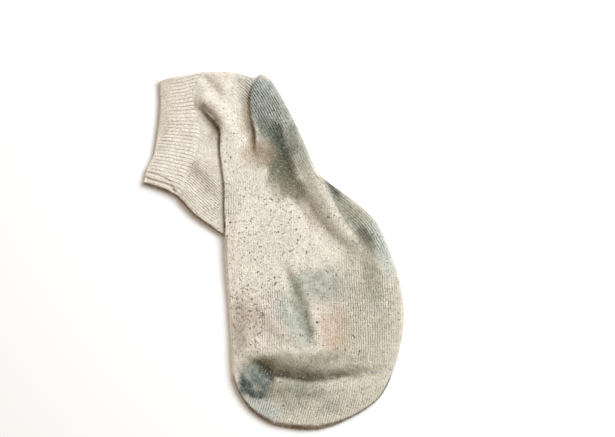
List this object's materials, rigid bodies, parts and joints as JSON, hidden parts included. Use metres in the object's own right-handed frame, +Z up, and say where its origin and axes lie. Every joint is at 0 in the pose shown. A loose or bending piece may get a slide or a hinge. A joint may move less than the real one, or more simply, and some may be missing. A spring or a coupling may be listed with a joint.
{
  "type": "worn ankle sock",
  "caption": "Knitted ankle sock laid flat with its foot turned sole up over the leg: ribbed cuff, folded heel pocket, rounded toe, creased and soiled.",
  "frame": {"origin": "on the table, under the middle of the sock's box as it lies", "axes": "+Y from the toe to the heel, along the foot; -X towards the open cuff; +Z up, away from the table"},
  "size_m": [0.1676, 0.23, 0.0111],
  "materials": {
    "cotton_knit": "matt undyed cotton jersey and rib, worn and soiled"
  },
  "bodies": {
    "root": {"sock": "cotton_knit"}
  },
  "joints": []
}
